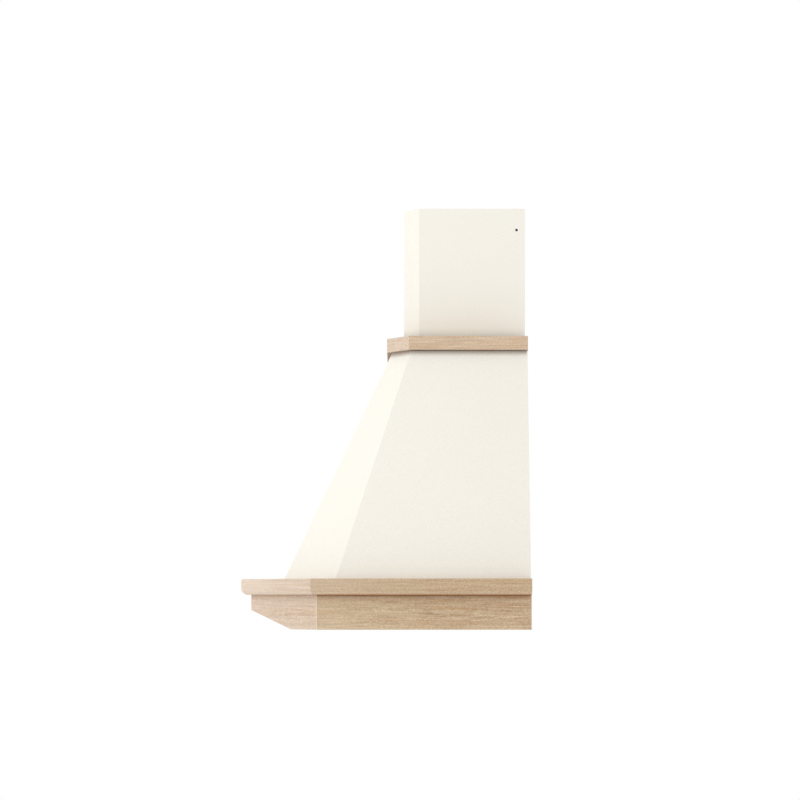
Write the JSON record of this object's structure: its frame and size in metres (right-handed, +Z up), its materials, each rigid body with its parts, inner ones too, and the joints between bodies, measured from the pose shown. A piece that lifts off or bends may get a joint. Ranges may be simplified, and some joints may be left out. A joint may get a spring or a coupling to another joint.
{
  "type": "wall range hood cover",
  "caption": "Wall-hung range hood cover: tapered painted canopy and chimney with angled front corners, mitred oak ledge, apron and band, and an extractor insert.",
  "frame": {"origin": "on the wall plane, midway between the hanging rail's two fixing holes", "axes": "+X to the hood's right seen from the front, -Y out from the wall to the front, +Z up"},
  "size_m": [0.6, 0.5, 0.7455],
  "materials": {
    "cream_paint": "satin cream lacquer on fibreboard",
    "oak": "light oiled oak, mitred",
    "plywood": "birch plywood, unfinished",
    "pine": "planed softwood",
    "satin_steel": "brushed stainless sheet",
    "galvanised_steel": "galvanised sheet",
    "zinc_screws": "zinc-plated screws",
    "black_screws": "blackened screw",
    "filter_aluminium": "aluminium mesh cassette",
    "grey_plastic": "moulded plastic",
    "button_plastic": "moulded plastic",
    "lamp_metal": "satin lamp housing",
    "lamp_glass": "frosted lens",
    "fan_plastic": "moulded polypropylene",
    "motor_metal": "painted motor can"
  },
  "bodies": {
    "cover": {"chimney_front_panel": "cream_paint", "chimney_right_corner_panel": "cream_paint", "chimney_left_corner_panel": "cream_paint", "chimney_right_side_panel": "cream_paint", "chimney_left_side_panel": "cream_paint", "canopy_front_panel": "cream_paint", "canopy_right_corner_panel": "cream_paint", "canopy_left_corner_panel": "cream_paint", "canopy_right_side_panel": "cream_paint", "canopy_left_side_panel": "cream_paint", "band_front": "oak", "band_right_corner": "oak", "band_left_corner": "oak", "band_right_side": "oak", "band_left_side": "oak", "ledge_front": "oak", "ledge_right_corner": "oak", "ledge_left_corner": "oak", "ledge_right_side": "oak", "ledge_left_side": "oak", "apron_front": "oak", "apron_right_corner": "oak", "apron_left_corner": "oak", "apron_right_side": "oak", "apron_left_side": "oak", "shoulder_board": "plywood", "top_board": "plywood", "base_board": "plywood", "hanging_rail": "pine", "lower_rail": "pine", "side_fold_strips": "pine", "front_fold_strips": "pine", "insert_fascia": "satin_steel", "insert_case": "galvanised_steel", "blower_box": "galvanised_steel", "chimney_wall_bracket": "galvanised_steel", "motor_bracket": "galvanised_steel", "flap_pin": "galvanised_steel", "outlet_collar": "galvanised_steel", "board_screws": "zinc_screws", "insert_screws": "zinc_screws", "chimney_screws": "black_screws", "control_panel": "grey_plastic", "right_lamp": "lamp_metal", "left_lamp": "lamp_metal", "right_lamp_lens": "lamp_glass", "left_lamp_lens": "lamp_glass", "scroll_housing": "fan_plastic", "fan_motor": "motor_metal"},
    "grease_filter": {"filter_frame": "filter_aluminium", "filter_mesh": "filter_aluminium"},
    "latch": {"filter_latch": "grey_plastic"},
    "impeller": {"impeller": "fan_plastic", "impeller_shaft": "galvanised_steel"},
    "front_flap": {"front_flap": "fan_plastic"},
    "rear_flap": {"rear_flap": "fan_plastic"},
    "light_button": {"light_button": "button_plastic"},
    "low_speed_button": {"low_speed_button": "button_plastic"},
    "middle_speed_button": {"middle_speed_button": "button_plastic"},
    "high_speed_button": {"high_speed_button": "button_plastic"}
  },
  "joints": [
    {"name": "filter_swing", "type": "hinge", "parent": "cover", "child": "grease_filter", "pos_m": [0, -0.051, -0.3957], "axis": [1, 0, 0], "range_deg": [0, 80]},
    {"name": "latch_slide", "type": "slide", "parent": "grease_filter", "child": "latch", "axis": [0, 1, 0], "range_m": [0, 0.006], "stiffness_N_per_m": 150},
    {"name": "light_press", "type": "slide", "parent": "cover", "child": "light_button", "axis": [0, 0, 1], "range_m": [0, 0.002], "stiffness_N_per_m": 300, "springref_m": -0.001},
    {"name": "low_speed_press", "type": "slide", "parent": "cover", "child": "low_speed_button", "axis": [0, 0, 1], "range_m": [0, 0.002], "stiffness_N_per_m": 300, "springref_m": -0.001},
    {"name": "middle_speed_press", "type": "slide", "parent": "cover", "child": "middle_speed_button", "axis": [0, 0, 1], "range_m": [0, 0.002], "stiffness_N_per_m": 300, "springref_m": -0.001},
    {"name": "high_speed_press", "type": "slide", "parent": "cover", "child": "high_speed_button", "axis": [0, 0, 1], "range_m": [0, 0.002], "stiffness_N_per_m": 300, "springref_m": -0.001},
    {"name": "impeller_spin", "type": "hinge", "parent": "cover", "child": "impeller", "pos_m": [0, -0.15325, -0.2393], "axis": [1, 0, 0], "continuous": true},
    {"name": "front_flap_swing", "type": "hinge", "parent": "cover", "child": "front_flap", "pos_m": [0, -0.107, -0.0925], "axis": [-1, 0, 0], "range_deg": [0, 75]},
    {"name": "rear_flap_swing", "type": "hinge", "parent": "cover", "child": "rear_flap", "pos_m": [0, -0.107, -0.0925], "axis": [1, 0, 0], "range_deg": [0, 75]}
  ]
}
